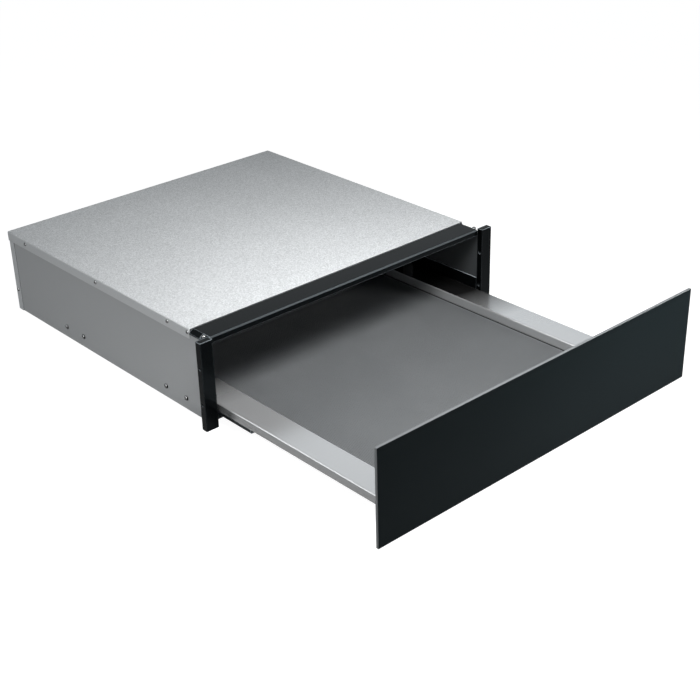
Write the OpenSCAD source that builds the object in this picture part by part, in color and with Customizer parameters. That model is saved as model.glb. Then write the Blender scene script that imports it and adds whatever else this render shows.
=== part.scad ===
// Built-in kitchen storage drawer: a folded steel housing with a black front frame, and a
// shallow steel tray that rides on ball-bearing runners behind a plain black glass front.
// X runs to the right seen from the front, Y to the back and Z up. The origin is the middle
// of the bottom rail's underside. The tray is drawn part way out, by pull_out.

/* [Front frame] */
// Width over the two frame posts
frame_w = 560; // [548:1:572]
// Width of a frame post
post_w = 20.5; // [19.5:0.5:22]
// Depth of a frame post
post_d = 10; // [9:0.5:12]
// Wall of a frame post
post_wall = 1.5; // [1.2:0.1:2]
// Distance of the top bar's lip behind the front of the posts
bar_setback = 8; // [6:0.5:9]
// Depth of the top bar from its lip to its back edge
bar_run = 38; // [32:1:46]
// Thickness of the top bar's sheet
bar_t = 1.5; // [1.2:0.1:1.8]
// Height of the lip at the front of the top bar
lip_h = 9.5; // [8:0.5:13]
// Distance of the bottom rail behind the front of the posts
rail_setback = 20; // [18:0.5:22]
// Thickness of the bottom rail
rail_t = 4; // [3:0.5:4.5]
// Height of the bottom rail
rail_h = 13; // [10:0.5:13.5]

/* [Housing] */
// Depth from the front of the posts to the back
housing_d = 527; // [525:1:540]
// Height over the top cover
housing_h = 134; // [130:1:136]
// Thickness of the housing's sheet steel
sheet_t = 1; // [0.8:0.1:1.2]
// Distance from the outside of a post to the side panel
side_inset = 17; // [16:0.5:18]
// Height of the flanges that the top cover turns down
cover_flange = 15; // [12:1:18]
// Width of the flanges that the rear panel turns forward
rear_flange = 14; // [12:1:16]

/* [Front panel] */
// Overhang of the glass past each post
panel_overhang = 17.5; // [12:0.5:20]
// Height of the glass above the top cover
panel_over = 6; // [3:0.5:8]
// Height of the glass above the underside of the housing
panel_lift = 1; // [0.5:0.1:2]
// Thickness of the glass
glass_t = 4; // [3.5:0.5:5]
// Gap between the glass and the posts when the drawer is shut
panel_gap = 4; // [3:0.5:5]
// Thickness of the steel carrier behind the glass
carrier_t = 1.2; // [1:0.1:1.5]
// Gap between the carrier and the lip of the top bar
carrier_gap = 5.5; // [4:0.5:30]

/* [Tray] */
// How far the tray is drawn out
pull_out = 348; // [300:1:380]
// Gap between the tray and the rear panel when the drawer is shut
tray_back_gap = 2; // [2:0.1:20]
// Gap between the tray and each post
tray_gap = 3.5; // [3:0.1:4]
// Width of the flat rim along each side
rim_w = 43; // [41:0.5:46]
// Height of the rim above the underside
rim_z = 34; // [33.5:0.5:37]
// Depth of the tray from its rim to the floor sheet
tray_depth = 16; // [14.5:0.5:16.5]
// Height of the skirt outside the rim
skirt_h = 12.5; // [10:0.5:12.5]
// Thickness of the tray's sheet steel
tray_t = 1; // [0.8:0.1:1.2]
// Thickness of the anti-slip mat
mat_t = 2; // [1:0.5:3]

/* [Runners] */
// Gap between the runners and the rear panel
runner_back_gap = 21; // [19:1:40]
// How much shorter the middle members are than the others
mid_setback = 92; // [84:1:98]
// Height of the cabinet member
runner_h = 26.6; // [25.6:0.1:26.8]
// Depth of the cabinet member across the drawer
runner_w = 14; // [13:0.5:15]
// Thickness of the runner steel
strip_t = 1.2; // [1:0.1:1.3]
// Diameter of a bearing ball
ball_d = 2.4; // [2:0.1:2.6]
// Thickness of a ball cage
cage_t = 0.8; // [0.6:0.1:0.9]
// Length of the cage between the cabinet and the middle member
outer_cage_len = 250; // [230:1:260]
// Length of the cage between the middle and the drawer member
inner_cage_len = 158; // [150:1:160]
// Balls in each row of the outer cage
outer_balls = 8; // [4:1:10]
// Balls in each row of the inner cage
inner_balls = 5; // [3:1:8]
// Height of the runner bracket's top edge
bracket_top = 49.5; // [44:0.5:56]
// Thickness of the runner bracket
bracket_t = 1.5; // [1.2:0.1:1.8]

/* [Push latch] */
// Length of the latch housing
latch_len = 50; // [46:1:56]
// Width of the latch housing
latch_w = 30; // [24:1:36]
// Height of the latch housing
latch_h = 12; // [11.5:0.1:12.5]
// Radius of the plunger
plunger_r = 3; // [2.6:0.1:3.2]
// Stroke of the plunger
press = 3; // [2:0.5:3.5]

/* [Fixings] */
// Radius of the cabinet screw holes through each post
fixing_r = 2.25; // [2:0.05:2.6]
// Height of the lower cabinet screw hole
fixing_low = 40; // [36:1:48]
// Height of the upper cabinet screw hole
fixing_high = 95; // [86:1:98]
// Radius of a rivet's head
rivet_r = 3.9; // [3:0.1:4.2]
// Radius of a sheet screw's head
screw_r = 2.7; // [2.2:0.1:3]

/* [Hidden] */
$fn = 48;

// Colours
zinc = [0.74, 0.76, 0.77];
zinc_dark = [0.55, 0.57, 0.58];
black = [0.07, 0.08, 0.09];
glass_black = [0.13, 0.15, 0.16];
stainless = [0.73, 0.75, 0.76];
bright = [0.82, 0.83, 0.85];
mat_grey = [0.43, 0.45, 0.46];

// Clearances, bends and overruns shared by all pieces
cut = 1;
shaft_gap = 0.05;
seat_gap = 0.3;
bend_r = 1;
runner_bend_r = 1;

// Places along Y
front_y = -(rail_setback + rail_t / 2);
post_back_y = front_y + post_d;
bar_front_y = front_y + bar_setback;
cover_front_y = bar_front_y + bar_run;
back_y = front_y + housing_d;
rear_out_y = back_y - sheet_t;
rear_in_y = rear_out_y - sheet_t;
runner_y = rail_t / 2;
glass_back_y = front_y - panel_gap - pull_out;
tray_front_y = glass_back_y + carrier_t;
tray_back_y = rear_in_y - tray_back_gap - pull_out;
tray_d = tray_back_y - tray_front_y;
side_back_y = rear_in_y - bend_r;

// Places across X, as distances from the middle
post_in_x = frame_w / 2 - post_w;
side_x = frame_w / 2 - side_inset;
side_in_x = side_x - sheet_t;
cover_x = side_x + sheet_t;
tray_x = post_in_x - tray_gap;
rim_in_x = tray_x - rim_w;

// Heights
foot_z = sheet_t;
base_top_z = foot_z + sheet_t;
cover_under_z = housing_h - sheet_t;
bar_top_z = cover_under_z;
floor_top_z = rim_z - tray_depth;
floor_z = floor_top_z - tray_t;
panel_top_z = housing_h + panel_over;
carrier_top_z = bar_top_z - lip_h - carrier_gap;

// Side panels
side_flange = 10;
foot_flange = 15;
post_flange = 14;
post_flange_low_z = 4;
post_flange_top_gap = 13;
post_flange_high_z = housing_h - post_flange_top_gap;

// Base panel with its pressed beads and its upturned back edge
base_flange = 13;
bead_h = 1.2;
bead_w = 12;
bead_x_shares = [-0.72, -0.36, 0.36, 0.72];
bead_margin = 40;

// Hem under the front edge of the top cover
hem_h = 6;
hem_inset = 14;

// Top bar: its sloped ends, and the screw tabs in the notch at each end
bar_back_h = 6.4;
bar_bend_r = 1;
bar_end_gap = 2.5;
slope_drop = 5.2;
slope_reach = cover_x + seat_gap;
notch_run = 13;
notch_y = post_back_y + notch_run;
tab_z = bar_top_z - bar_t - slope_drop;
bar_half = post_in_x - bar_end_gap;

// Posts: rounded front edges, tubes for the cabinet screws and bosses for the frame screws
post_edge_r = 0.8;
fixing_wall = 1.8;
boss_r = 3.2;
boss_end_gap = 22;
frame_screw_r = 1.6;
rail_end_gap = 8;

// Runner bracket
bracket_front_gap = 2;
bracket_back_gap = 27;
bracket_front_y = post_back_y + bracket_front_gap;
bracket_len = rear_in_y - bracket_back_gap - bracket_front_y;
bracket_leg_in = 2;
runner_drop = 13.3;
bracket_z = floor_z - runner_drop;

// Runner sections, all measured from the skirt inwards and up from the bracket's leg
runner_out_x = tray_x - tray_t - bend_r;
runner_z = bracket_z + bracket_t;
ball_gap = 0.25;
race = ball_d + 2 * ball_gap;
web_gap = 2.8;
mid_x = runner_out_x - strip_t - web_gap;
mid_inset = 2;
mid_w = runner_w - mid_inset;
mid_z = runner_z + strip_t + race;
mid_h = runner_h - 2 * (strip_t + race);
slide_h = mid_h - 2 * (strip_t + race);
slide_z = mid_z + strip_t + race;
slide_x = mid_x - strip_t - web_gap;
slide_w = 10;
slide_web_x = slide_x - slide_w;
hanger_leg = 16;
ball_inset = 7.8;
ball_step = 2.5;
outer_ball_x = runner_out_x - strip_t - ball_inset;
inner_ball_x = outer_ball_x - ball_step;
cage_end = 3.7;
ball_margin = 14;

// Shares of the drawer's travel that the members between cabinet and drawer make
mid_share = 0.5;
outer_cage_share = 0.25;
inner_cage_share = 0.75;
outer_cage_lead = 21;
inner_cage_lead = 113;
runner_len = rear_in_y - runner_back_gap - runner_y;
mid_len = runner_len - mid_setback;
mid_shut_y = runner_y + mid_setback;
mid_y = mid_shut_y - pull_out * mid_share;
outer_cage_y = mid_shut_y + outer_cage_lead - pull_out * outer_cage_share;
inner_cage_y = mid_shut_y + inner_cage_lead - pull_out * inner_cage_share;
slide_y = runner_y - pull_out;

// Rivets that hold the runner brackets to the side panels
rivet_h = 2.2;
rivet_shaft_r = 2.4;
rivet_z = 19;
rivet_head_t = 1.2;
rivet_y_shares = [0.115, 0.214, 0.656, 0.753];

// Sheet screws
screw_h = 1.5;
screw_shaft_r = 1.5;
screw_len = 5;
cover_screw_drop = 6;
cover_screw_z = housing_h - cover_screw_drop;
cover_screw_front = 4;
cover_screw_y_shares = [0.183, 0.522, 0.899];
cover_screw_ys = concat(cover_front_y + cover_screw_front,
                        [for (k = cover_screw_y_shares) front_y + k * housing_d]);
rear_screw_z = 36;
back_screw_x_shares = [-0.76, 0, 0.76];
base_screw_x_shares = [-0.4, 0.4];
base_screw_z = 8;
tab_screw_x = side_in_x - frame_screw_r - seat_gap;
tab_screw_back = 8;
tab_screw_y = post_back_y + tab_screw_back;
collar_r = 2.3;
collar_h = 3.4;
tab_head_r = 3.1;
tab_head_h = 2.6;

// Push latch at the back of the base panel
latch_back_gap = 3;
latch_front_y = rear_in_y - latch_back_gap - latch_len;
latch_rise = 6.5;
latch_axis_z = base_top_z + latch_rise;
plunger_head_r = 5;
plunger_head_t = 3;
plunger_len = 20;
bore_len = 40;
plunger_tip_y = latch_front_y - seat_gap - press - plunger_head_t;
ear_w = 9;
ear_h = 3;
ear_y = latch_front_y + latch_len / 2;
latch_screw_r = 1.9;
latch_head_r = 3.4;
latch_head_h = 2;
spring_wire = 0.6;
spring_r = 2.1;
spring_turns = 7;
spring_sides = 6;
spring_steps = 12;

// Strike plate under the tray
strike_gap = 0.4;
strike_t = 1.5;
strike_w = 28;
strike_leg = 18;
strike_rise = 2;
strike_low_z = base_top_z + strike_rise;
strike_y = plunger_tip_y - strike_gap - pull_out;

// Tray
foot_w = 10;
pan_lip = 13;
pan_gap = 0.2;
rear_rim = 9;
mat_gap = 0.7;
stop_back = 45;
stop_len = 20;
stop_w = 4;
stop_h = 22;
stop_slope = 3;
stop_y = tray_back_y - stop_back - stop_len;
stop_x = rim_in_x + tray_t + bend_r;
stop_peg_r = 1.2;
stop_peg_len = 3;
stop_peg_end = 5;

// Carrier
carrier_inset = 6;
carrier_half = tray_x - carrier_inset;
carrier_lip = 8;
carrier_leg = 20;
front_screw_inset = 5.5;
front_screw_x = rim_in_x - front_screw_inset;
front_screw_ys = [8, 15.5];
front_screw_r = 1.8;
front_head_r = 2.8;
front_head_h = 1.6;

// Quarter ring at a fold, on the left of the walk for turn 1 and on the right for turn -1
module bend(t, r, turn)
    intersection() {
        difference() {
            circle(r = r + t);
            circle(r = r);
        }
        translate([0, turn > 0 ? -(r + t) : 0]) square(r + t);
    }

// Outline of a folded sheet. It walks along each leg in turn, with the sheet on its left,
// and makes a square bend with inner radius r to the left (1) or the right (-1) after it.
module folded(legs, turns, t, r, i = 0) {
    square([legs[i], t]);
    if (i < len(turns))
        translate([legs[i], turns[i] > 0 ? t + r : -r]) {
            bend(t, r, turns[i]);
            translate([turns[i] > 0 ? r + t : r, 0])
                rotate(90 * turns[i]) folded(legs, turns, t, r, i + 1);
        }
}

// U-shaped folded sheet, open upwards, of outer width w and outer leg height h
module channel(w, h, t, r)
    translate([-w / 2, h]) rotate(-90)
        folded([h - t - r, w - 2 * (t + r), h - t - r], [1, 1], t, r);

// Extrudes an outline drawn in X and Z from y0 to y1
module along_y(y0, y1)
    translate([0, y1, 0]) rotate([90, 0, 0]) linear_extrude(height = y1 - y0) children();

// Extrudes an outline drawn in Y and Z from x0 to x1
module along_x(x0, x1)
    translate([x0, 0, 0]) rotate([90, 0, 90]) linear_extrude(height = x1 - x0) children();

// Block between two corners
module block(a, b) translate(a) cube(b - a);

// Keeps a piece on the right, or mirrors it to the left
module on_side(s) {
    if (s < 0) mirror([1, 0, 0]) children();
    else children();
}

module both_sides() {
    children();
    mirror([1, 0, 0]) children();
}

// Turns a piece drawn along Z so that it points to +X, or to +Y
module to_x() rotate([0, 90, 0]) children();
module to_y() rotate([-90, 0, 0]) children();

// Spherical cap of base radius a and height h, standing on Z = 0
module dome(a, h) {
    ball_r = (a * a + h * h) / (2 * h);
    intersection() {
        translate([0, 0, h - ball_r]) sphere(r = ball_r);
        translate([-a - cut, -a - cut, 0]) cube([2 * (a + cut), 2 * (a + cut), h + cut]);
    }
}

// Domed screw along Z: its head stands on Z = 0 and its shaft hangs below
module sheet_screw(head_r, head_h, shaft_r, shaft_len) {
    dome(head_r, head_h);
    translate([0, 0, -shaft_len]) cylinder(r = shaft_r, h = shaft_len + head_h / 2);
}

// Places on a side flange, on the back and on the rear panel's flanges where screws go
module at_cover_sides()
    for (y = cover_screw_ys) translate([cover_x, y, cover_screw_z]) to_x() children();

module at_cover_back()
    for (k = back_screw_x_shares) translate([k * side_x, back_y, cover_screw_z]) to_y() children();

module at_rear_sides()
    translate([cover_x, rear_out_y - rear_flange / 2, rear_screw_z]) to_x() children();

module at_base_back()
    for (k = base_screw_x_shares) translate([k * side_x, rear_out_y, base_screw_z]) to_y() children();

module at_rivets()
    for (k = rivet_y_shares)
        translate([side_x, bracket_front_y + k * bracket_len, rivet_z]) to_x() children();

module hole(r, l) translate([0, 0, -l / 2]) cylinder(r = r, h = l);

// Housing

// Long pressed bead with round ends, lying along Y
module bead(x)
    translate([x, 0, base_top_z]) linear_extrude(height = bead_h) {
        y0 = runner_y + bead_margin;
        y1 = latch_front_y - bead_margin;
        translate([-bead_w / 2, y0]) square([bead_w, y1 - y0]);
        for (y = [y0, y1]) translate([0, y]) circle(d = bead_w);
    }

module base_panel()
    color(zinc_dark) {
        half = side_in_x - bend_r;
        difference() {
            union() {
                block([-half, runner_y, foot_z], [half, rear_in_y, base_top_z]);
                block([-half, rear_in_y - sheet_t, foot_z], [half, rear_in_y, foot_z + base_flange]);
                for (k = bead_x_shares) bead(k * side_x);
            }
            at_base_back() hole(screw_shaft_r + shaft_gap, 2 * screw_len);
            both_sides() translate([latch_w / 2 + ear_w / 2, ear_y, foot_z])
                hole(latch_screw_r + shaft_gap, 2 * base_flange);
        }
    }

module side_panel(s)
    color(zinc) on_side(s) {
        web_h = cover_under_z - 2 * (sheet_t + bend_r);
        low_h = tab_z - 2 * (sheet_t + bend_r);
        foot = foot_flange - sheet_t - bend_r;
        top = side_flange - sheet_t - bend_r;
        difference() {
            union() {
                along_y(cover_front_y, side_back_y) translate([side_x - foot_flange, 0])
                    folded([foot, web_h, top], [1, 1], sheet_t, bend_r);
                along_y(post_back_y, cover_front_y) translate([side_x - foot_flange, 0])
                    folded([foot, low_h, top], [1, 1], sheet_t, bend_r);
                block([side_in_x, post_back_y, post_flange_low_z],
                      [side_x + post_flange, post_back_y + sheet_t, post_flange_high_z]);
            }
            block([side_x - foot_flange - cut, post_back_y - cut, -cut],
                  [side_x + cut, runner_y, foot_z + bend_r]);
            at_cover_sides() hole(screw_shaft_r + shaft_gap, 2 * screw_len);
            at_rear_sides() hole(screw_shaft_r + shaft_gap, 2 * screw_len);
            at_rivets() hole(rivet_shaft_r + shaft_gap, 2 * foot_flange);
            at_bosses() hole(frame_screw_r + shaft_gap, 2 * post_d);
            at_tab_screw() hole(frame_screw_r + shaft_gap, 2 * side_flange);
        }
    }

module rear_panel()
    color(zinc_dark) {
        top = housing_h - cover_flange - seat_gap;
        difference() {
            union() {
                translate([0, rear_out_y, foot_z]) linear_extrude(height = top - foot_z)
                    mirror([0, 1]) channel(2 * cover_x, rear_flange, sheet_t, bend_r);
                block([-side_in_x, rear_in_y, foot_z], [side_in_x, rear_out_y, cover_under_z]);
            }
            at_cover_back() hole(screw_shaft_r + shaft_gap, 2 * screw_len);
            at_base_back() hole(screw_shaft_r + shaft_gap, 2 * screw_len);
            both_sides() at_rear_sides() hole(screw_shaft_r + shaft_gap, 2 * screw_len);
        }
    }

module top_cover()
    color(zinc) difference() {
        union() {
            along_y(cover_front_y, back_y) translate([0, housing_h]) mirror([0, 1])
                channel(2 * cover_x, cover_flange, sheet_t, bend_r);
            block([-side_x + bend_r, rear_out_y, housing_h - cover_flange],
                  [side_x - bend_r, back_y, housing_h - sheet_t / 2]);
            block([-side_x + hem_inset, cover_front_y, cover_under_z - hem_h],
                  [side_x - hem_inset, cover_front_y + sheet_t, cover_under_z + sheet_t / 2]);
        }
        both_sides() at_cover_sides() hole(screw_shaft_r + shaft_gap, 2 * screw_len);
        at_cover_back() hole(screw_shaft_r + shaft_gap, 2 * screw_len);
    }

module cover_screws()
    color(bright) {
        both_sides() at_cover_sides() sheet_screw(screw_r, screw_h, screw_shaft_r, screw_len);
        at_cover_back() sheet_screw(screw_r, screw_h, screw_shaft_r, screw_len);
    }

module rear_screws()
    color(bright) {
        both_sides() at_rear_sides() sheet_screw(screw_r, screw_h, screw_shaft_r, screw_len);
        at_base_back() sheet_screw(screw_r, screw_h, screw_shaft_r, screw_len);
    }

// Front frame

// Slope that closes each end of the top bar, drawn in X and Z
module bar_slope() {
    x0 = bar_half;
    polygon([[x0 - bar_t, bar_top_z], [x0, bar_top_z], [slope_reach, bar_top_z - slope_drop],
             [slope_reach, tab_z], [slope_reach - bar_t, tab_z],
             [x0 - bar_t, bar_top_z - bar_t]]);
}

module frame_top_bar()
    color(black) {
        lip = lip_h - bar_t - bar_bend_r;
        top = bar_run - 2 * (bar_t + bar_bend_r);
        back = bar_back_h - bar_t - bar_bend_r;
        difference() {
            union() {
                along_x(-bar_half, bar_half) translate([cover_front_y, bar_top_z - bar_back_h])
                    rotate(90) folded([back, top, lip], [1, 1], bar_t, bar_bend_r);
                both_sides() {
                    along_y(notch_y, cover_front_y) bar_slope();
                    block([bar_half - bar_t, post_back_y, tab_z], [bar_half, notch_y, bar_top_z - bar_t / 2]);
                    block([bar_half - bar_t, post_back_y, tab_z], [side_x, notch_y, tab_z + bar_t]);
                }
            }
            both_sides() at_tab_screw() hole(frame_screw_r + shaft_gap, 2 * side_flange);
        }
    }

module at_tab_screw() translate([tab_screw_x, tab_screw_y, tab_z]) children();

module at_bosses()
    for (z = [boss_end_gap, housing_h - boss_end_gap]) translate([frame_w / 2 - post_w / 2, post_back_y, z])
        to_y() children();

module at_fixings()
    for (z = [fixing_low, fixing_high]) translate([frame_w / 2 - post_w / 2, front_y + post_d / 2, z])
        to_x() children();

// Plan of a post, with its front edges rounded
module post_plan() {
    x1 = frame_w / 2;
    translate([post_in_x, front_y + post_edge_r]) square([post_w, post_d - post_edge_r]);
    translate([post_in_x + post_edge_r, front_y]) square([post_w - 2 * post_edge_r, post_d]);
    for (x = [post_in_x + post_edge_r, x1 - post_edge_r])
        translate([x, front_y + post_edge_r]) circle(r = post_edge_r);
}

module frame_post(s)
    color(black) on_side(s) difference() {
        union() {
            difference() {
                linear_extrude(height = housing_h) post_plan();
                block([post_in_x + post_wall, front_y + post_wall, post_wall],
                      [frame_w / 2 - post_wall, post_back_y + cut, housing_h - post_wall]);
            }
            at_fixings() hole(fixing_r + fixing_wall, post_w - post_wall);
            at_bosses() translate([0, 0, post_wall - post_d]) cylinder(r = boss_r, h = post_d - post_wall);
        }
        at_fixings() hole(fixing_r, post_w + 2 * cut);
        at_bosses() hole(frame_screw_r + shaft_gap, 2 * (post_d - 2 * post_wall));
    }

// Rail of full height between the runners, with low ends that pass under them
module frame_bottom_rail()
    color(black) {
        full = runner_out_x - runner_w - rail_end_gap;
        along_x(-full, full) {
            translate([-rail_t / 2, 0]) square([rail_t, rail_h - rail_t / 4]);
            translate([-rail_t / 4, 0]) square([rail_t / 2, rail_h]);
            for (k = [-1, 1]) translate([k * rail_t / 4, rail_h - rail_t / 4]) circle(r = rail_t / 4);
        }
        block([-side_in_x, -rail_t / 2, 0], [side_in_x, rail_t / 2, bracket_z]);
    }

module frame_screws()
    color(bright) both_sides() {
        at_tab_screw() {
            translate([0, 0, -side_flange / 2]) cylinder(r = frame_screw_r, h = side_flange);
            translate([0, 0, bar_t]) cylinder(r = collar_r, h = collar_h);
            translate([0, 0, bar_t + collar_h]) {
                cylinder(r = tab_head_r, h = tab_head_h / 2);
                translate([0, 0, tab_head_h / 2]) dome(tab_head_r, tab_head_h / 2);
            }
        }
        at_bosses() translate([0, 0, sheet_t])
            sheet_screw(screw_r, screw_h, frame_screw_r, post_d / 2);
    }

// Runners. Each section is drawn on the right in X and Z.

module runner_bracket(s)
    color(black) on_side(s) {
        leg = side_in_x - (runner_out_x - runner_w + bracket_leg_in) - bracket_t - runner_bend_r;
        web = bracket_top - bracket_z - bracket_t - runner_bend_r;
        difference() {
            along_y(bracket_front_y, bracket_front_y + bracket_len)
                translate([side_in_x - bracket_t, bracket_top])
                rotate(-90) folded([web, leg], [-1], bracket_t, runner_bend_r);
            at_rivets() hole(rivet_shaft_r + shaft_gap, 2 * foot_flange);
        }
    }

module runner_rivets(s)
    color(bright) on_side(s) at_rivets() {
        dome(rivet_r, rivet_h);
        grip = sheet_t + bracket_t;
        translate([0, 0, -grip - rivet_head_t / 2])
            cylinder(r = rivet_shaft_r, h = grip + rivet_head_t / 2 + rivet_h / 2);
        translate([0, 0, -grip - rivet_head_t]) cylinder(r = rivet_r, h = rivet_head_t);
    }

// C-section of outer height h and depth w, with its web at x and its flanges inwards
module c_section(x, z, w, h, t, r)
    translate([x - w, z]) folded([w - t - r, h - 2 * (t + r), w - t - r], [1, 1], t, r);

module runner_rail(s)
    color(zinc_dark) on_side(s) along_y(runner_y, runner_y + runner_len)
        c_section(runner_out_x, runner_z, runner_w, runner_h, strip_t, runner_bend_r);

module runner_mid(s)
    color(zinc_dark) on_side(s) along_y(mid_y, mid_y + mid_len)
        c_section(mid_x, mid_z, mid_w, mid_h, strip_t, runner_bend_r);

module runner_slide(s)
    color(zinc_dark) on_side(s) along_y(slide_y, slide_y + runner_len) {
        flange = slide_w - strip_t - runner_bend_r;
        translate([slide_x, slide_z + slide_h]) rotate(180)
            folded([flange, slide_h - 2 * (strip_t + runner_bend_r), flange], [1, 1],
                   strip_t, runner_bend_r);
        hang = rim_z - tray_t - slide_z - strip_t - runner_bend_r;
        translate([slide_web_x, slide_z]) rotate(90)
            folded([hang, hanger_leg - strip_t - runner_bend_r], [1], strip_t, runner_bend_r);
    }

// Cage with round pockets for two rows of balls
module cage(x, z, h, len, y, ball_x, count)
    difference() {
        along_y(y, y + len) c_section(x, z, x - ball_x + cage_end, h, cage_t, cage_t);
        at_balls(ball_x, y, len, count) translate([0, 0, z - cut])
            cylinder(r = ball_d / 2 + ball_gap, h = h + 2 * cut);
    }

module at_balls(ball_x, y, len, count)
    for (i = [0:count - 1])
        translate([ball_x, y + ball_margin + i * (len - 2 * ball_margin) / (count - 1), 0]) children();

outer_cage_x = runner_out_x - strip_t - (web_gap - cage_t) / 2;
outer_cage_z = runner_z + strip_t + (race - cage_t) / 2;
outer_cage_h = runner_h - 2 * (strip_t + (race - cage_t) / 2);
inner_cage_x = mid_x - strip_t - (web_gap - cage_t) / 2;
inner_cage_z = mid_z + strip_t + (race - cage_t) / 2;
inner_cage_h = mid_h - 2 * (strip_t + (race - cage_t) / 2);

module outer_cage(s)
    color(bright) on_side(s)
        cage(outer_cage_x, outer_cage_z, outer_cage_h, outer_cage_len, outer_cage_y,
             outer_ball_x, outer_balls);

module inner_cage(s)
    color(bright) on_side(s)
        cage(inner_cage_x, inner_cage_z, inner_cage_h, inner_cage_len, inner_cage_y,
             inner_ball_x, inner_balls);

// Two rows of balls, one in each race
module ball_rows(ball_x, y, len, count, low_z, high_z)
    at_balls(ball_x, y, len, count)
        for (z = [low_z, high_z]) translate([0, 0, z]) sphere(d = ball_d);

module outer_ball_rows(s)
    color(bright) on_side(s)
        ball_rows(outer_ball_x, outer_cage_y, outer_cage_len, outer_balls,
                  runner_z + strip_t + race / 2, runner_z + runner_h - strip_t - race / 2);

module inner_ball_rows(s)
    color(bright) on_side(s)
        ball_rows(inner_ball_x, inner_cage_y, inner_cage_len, inner_balls,
                  mid_z + strip_t + race / 2, mid_z + mid_h - strip_t - race / 2);

// Push latch

module latch_body()
    color(black) difference() {
        union() {
            block([-latch_w / 2, latch_front_y, base_top_z],
                  [latch_w / 2, latch_front_y + latch_len, base_top_z + latch_h]);
            translate([0, 0, base_top_z]) linear_extrude(height = ear_h) {
                translate([-latch_w / 2 - ear_w / 2, ear_y - ear_w / 2]) square([latch_w + ear_w, ear_w]);
                for (k = [-1, 1]) translate([k * (latch_w + ear_w) / 2, ear_y]) circle(d = ear_w);
            }
        }
        translate([0, latch_front_y, latch_axis_z]) to_y() translate([0, 0, -cut])
            cylinder(r = plunger_r + shaft_gap, h = bore_len + cut);
        both_sides() translate([(latch_w + ear_w) / 2, ear_y, base_top_z])
            hole(latch_screw_r + shaft_gap, 2 * (ear_h + cut));
    }

module latch_screws()
    color(bright) both_sides() translate([(latch_w + ear_w) / 2, ear_y, base_top_z + ear_h])
        sheet_screw(latch_head_r, latch_head_h, latch_screw_r, ear_h + sheet_t);

module latch_plunger()
    color(bright) translate([0, plunger_tip_y, latch_axis_z]) to_y() {
        cylinder(r = plunger_head_r, h = plunger_head_t);
        cylinder(r = plunger_r, h = plunger_head_t + plunger_len);
    }

// Coil swept along Y by a ring of points that follows a helix
module latch_spring() {
    y0 = plunger_tip_y + plunger_head_t + plunger_len + spring_wire;
    y1 = latch_front_y + bore_len - spring_wire;
    rings = spring_turns * spring_steps;
    points = [for (i = [0:rings], j = [0:spring_sides - 1])
        let (a = 360 * i / spring_steps, b = 360 * j / spring_sides,
             r = spring_r + spring_wire / 2 * cos(b))
            [r * cos(a), y0 + (y1 - y0) * i / rings + spring_wire / 2 * sin(b), r * sin(a)]];
    sides = [for (i = [0:rings - 1], j = [0:spring_sides - 1])
        let (a = i * spring_sides + j, b = i * spring_sides + (j + 1) % spring_sides)
            [a, b, b + spring_sides, a + spring_sides]];
    start = [for (j = [spring_sides - 1:-1:0]) j];
    end = [for (j = [0:spring_sides - 1]) rings * spring_sides + j];
    color(bright) translate([0, 0, latch_axis_z])
        polyhedron(points = points, faces = concat(sides, [start, end]), convexity = spring_turns);
}

// Tray

module drawer_side(s)
    color(stainless) on_side(s) {
        skirt = skirt_h - tray_t - bend_r;
        rim = rim_w - 2 * (tray_t + bend_r);
        wall = rim_z - tray_t - bend_r - floor_z - bend_r;
        difference() {
            along_y(tray_front_y, tray_back_y) translate([tray_x, rim_z - skirt_h]) rotate(90)
                folded([skirt, rim, wall, foot_w - bend_r], [1, 1, -1], tray_t, bend_r);
            at_front_screws() hole(front_screw_r + shaft_gap, 2 * floor_z);
            at_stop_pegs() hole(stop_peg_r + shaft_gap, 2 * stop_peg_len);
            block([rim_in_x - foot_w - cut, tray_front_y - cut, floor_z - tray_t - cut],
                  [tray_x, tray_front_y + bend_r, floor_z]);
        }
    }

// Floor pan with a lip turned up at the front and at the back
module drawer_floor()
    color(stainless) {
        half = rim_in_x - bend_r - pan_gap;
        run = tray_d - tray_t - 2 * (tray_t + bend_r);
        lip = pan_lip - tray_t - bend_r;
        difference() {
            along_x(-half, half) translate([tray_front_y, floor_z + pan_lip]) rotate(-90)
                folded([lip, run, lip], [1, 1], tray_t, bend_r);
            both_sides() at_front_screws() hole(front_screw_r + shaft_gap, 2 * floor_z);
        }
    }

module drawer_rear_panel()
    color(stainless) {
        half = rim_in_x - bend_r;
        web = rim_z - tray_t - bend_r - floor_z;
        along_x(-half, half) translate([tray_back_y - rear_rim, rim_z - tray_t])
            folded([rear_rim - tray_t - bend_r, web], [-1], tray_t, bend_r);
    }

module drawer_mat()
    color(mat_grey) {
        half = rim_in_x - bend_r - mat_gap;
        block([-half, tray_front_y + tray_t + bend_r + mat_gap, floor_top_z],
              [half, tray_back_y - 2 * tray_t - bend_r - mat_gap, floor_top_z + mat_t]);
    }

module at_stop_pegs()
    for (y = [stop_y + stop_peg_end, stop_y + stop_len - stop_peg_end])
        translate([stop_x + stop_w / 2, y, rim_z]) children();

// Upright stop on the rim, with a sloped front corner and two pegs through the rim
module drawer_stop(s)
    color(black) on_side(s) {
        y1 = stop_y + stop_len;
        top = rim_z + stop_h;
        along_x(stop_x, stop_x + stop_w)
            polygon([[stop_y, rim_z], [y1, rim_z], [y1, top], [stop_y + stop_slope, top],
                     [stop_y, top - stop_slope]]);
        at_stop_pegs() translate([0, 0, -stop_peg_len])
            cylinder(r = stop_peg_r, h = stop_peg_len + stop_slope);
    }

module at_front_screws()
    for (y = front_screw_ys) translate([front_screw_x, glass_back_y + y, floor_z]) children();

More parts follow.
